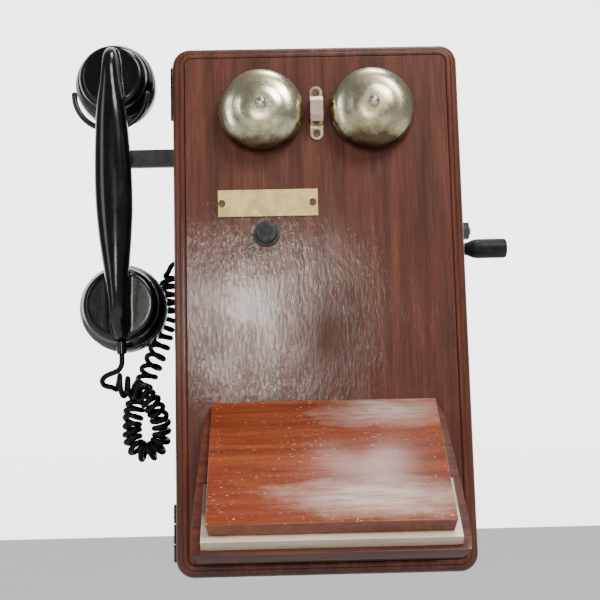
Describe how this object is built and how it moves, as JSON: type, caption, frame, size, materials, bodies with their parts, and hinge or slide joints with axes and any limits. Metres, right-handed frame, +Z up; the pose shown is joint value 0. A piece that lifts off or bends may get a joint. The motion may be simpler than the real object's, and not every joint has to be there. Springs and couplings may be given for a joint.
{
  "type": "wall crank telephone",
  "caption": "Wooden wall telephone with hinged door, bells, push button, sloping writing shelf, side crank and a handset on a switch hook with a curly cord.",
  "frame": {"origin": "centre of the wall screw pattern on the back face of the backboard", "axes": "+Z up, +Y into the wall, the front faces -Y, +X to the viewer's right where the crank is"},
  "size_m": [0.3416, 0.201, 0.4111],
  "materials": {
    "mahogany": "stained and lacquered, worn",
    "shelf_mahogany": "stained and lacquered, worn",
    "plain_wood": "plain",
    "brass": "aged",
    "plate_brass": "brushed, aged",
    "aged_nickel": "tarnished nickel plate",
    "japanned_black": "japanned",
    "steel": "plain",
    "winding": "enamelled wire under cloth",
    "black_bakelite": "gloss",
    "grey_black_button": "worn satin",
    "cord_rubber": "satin"
  },
  "bodies": {
    "case": {"backboard": "mahogany", "case_left_side": "mahogany", "case_right_side": "mahogany", "case_ends": "mahogany", "case_hinge_leaves": "brass", "hinge_pins": "brass", "door_catch": "brass", "magneto_end_plates": "brass", "magneto_magnets": "japanned_black", "magneto_pole_shoes": "steel", "crank_bush": "brass", "hook_bracket": "japanned_black", "hook_pivot_pin": "steel", "hook_switch_springs": "steel", "induction_coil": "winding", "coil_spool": "plain_wood", "line_capacitor": "steel", "terminal_strip": "black_bakelite", "terminal_screws": "brass", "cord_gland": "black_bakelite", "curly_cord": "cord_rubber", "cord_leads": "cord_rubber"},
    "door": {"door_panel": "mahogany", "door_hinge_leaves": "brass", "catch_stud": "brass", "gong_left": "aged_nickel", "gong_right": "aged_nickel", "gong_posts": "brass", "gong_nuts": "aged_nickel", "clapper_guard": "aged_nickel", "nameplate": "plate_brass", "front_screws": "brass", "button_collar": "grey_black_button", "button_switch_base": "black_bakelite", "ringer_frame": "steel", "ringer_coils": "winding", "ringer_magnet": "japanned_black", "clapper_pivot_pin": "steel", "shelf_board": "shelf_mahogany", "shelf_middle_layer": "shelf_mahogany", "shelf_base_layer": "mahogany", "shelf_support": "mahogany"},
    "clapper": {"ringer_armature": "steel", "clapper_rod": "brass"},
    "button": {"button_cap": "grey_black_button", "button_spring": "steel"},
    "crank": {"crank_shaft": "steel", "drive_gear": "brass", "crank_arm": "japanned_black", "crank_nut": "japanned_black"},
    "grip": {"crank_grip": "black_bakelite"},
    "armature": {"armature_shuttle": "steel", "armature_pinion": "brass"},
    "hook": {"hook_lever": "japanned_black", "hook_fork": "japanned_black"},
    "handset": {"handset_handle": "black_bakelite", "receiver_cap": "black_bakelite", "transmitter_cap": "black_bakelite", "handset_capsules": "steel", "handset_cord_gland": "black_bakelite"}
  },
  "joints": [
    {"name": "door_swing", "type": "hinge", "parent": "case", "child": "door", "pos_m": [-0.1074, -0.0928, 0], "axis": [0, 0, -1], "range_deg": [0, 90]},
    {"name": "clapper_swing", "type": "hinge", "parent": "door", "child": "clapper", "pos_m": [0, -0.08, 0.106], "axis": [0, 1, 0], "range_deg": [-7.2, 7.2], "stiffness_Nm_per_rad": 0.03},
    {"name": "button_press", "type": "slide", "parent": "door", "child": "button", "axis": [0, 1, 0], "range_m": [0, 0.0025], "stiffness_N_per_m": 400, "springref_m": -0.001},
    {"name": "crank_turn", "type": "hinge", "parent": "case", "child": "crank", "pos_m": [0.05, -0.066, 0.06], "axis": [1, 0, 0], "continuous": true},
    {"name": "grip_spin", "type": "hinge", "parent": "crank", "child": "grip", "pos_m": [0.135, -0.031, 0.0526], "axis": [1, 0, 0], "continuous": true},
    {"name": "armature_spin", "type": "hinge", "parent": "case", "child": "armature", "pos_m": [0.05, -0.042, 0.042], "axis": [1, 0, 0], "continuous": true},
    {"name": "handset_lift", "type": "slide", "parent": "case", "child": "handset", "axis": [0, 0, 1], "range_m": [0, 0.06]},
    {"name": "hook_swing", "type": "hinge", "parent": "case", "child": "hook", "pos_m": [-0.085, -0.078, 0.1192], "axis": [0, 1, 0], "range_deg": [0, 9]}
  ],
  "couplings": [
    {"joint": "armature_spin", "follows": "crank_turn", "ratio": -4},
    {"joint": "hook_swing", "follows": "handset_lift", "rad_per_m": 2.6}
  ]
}
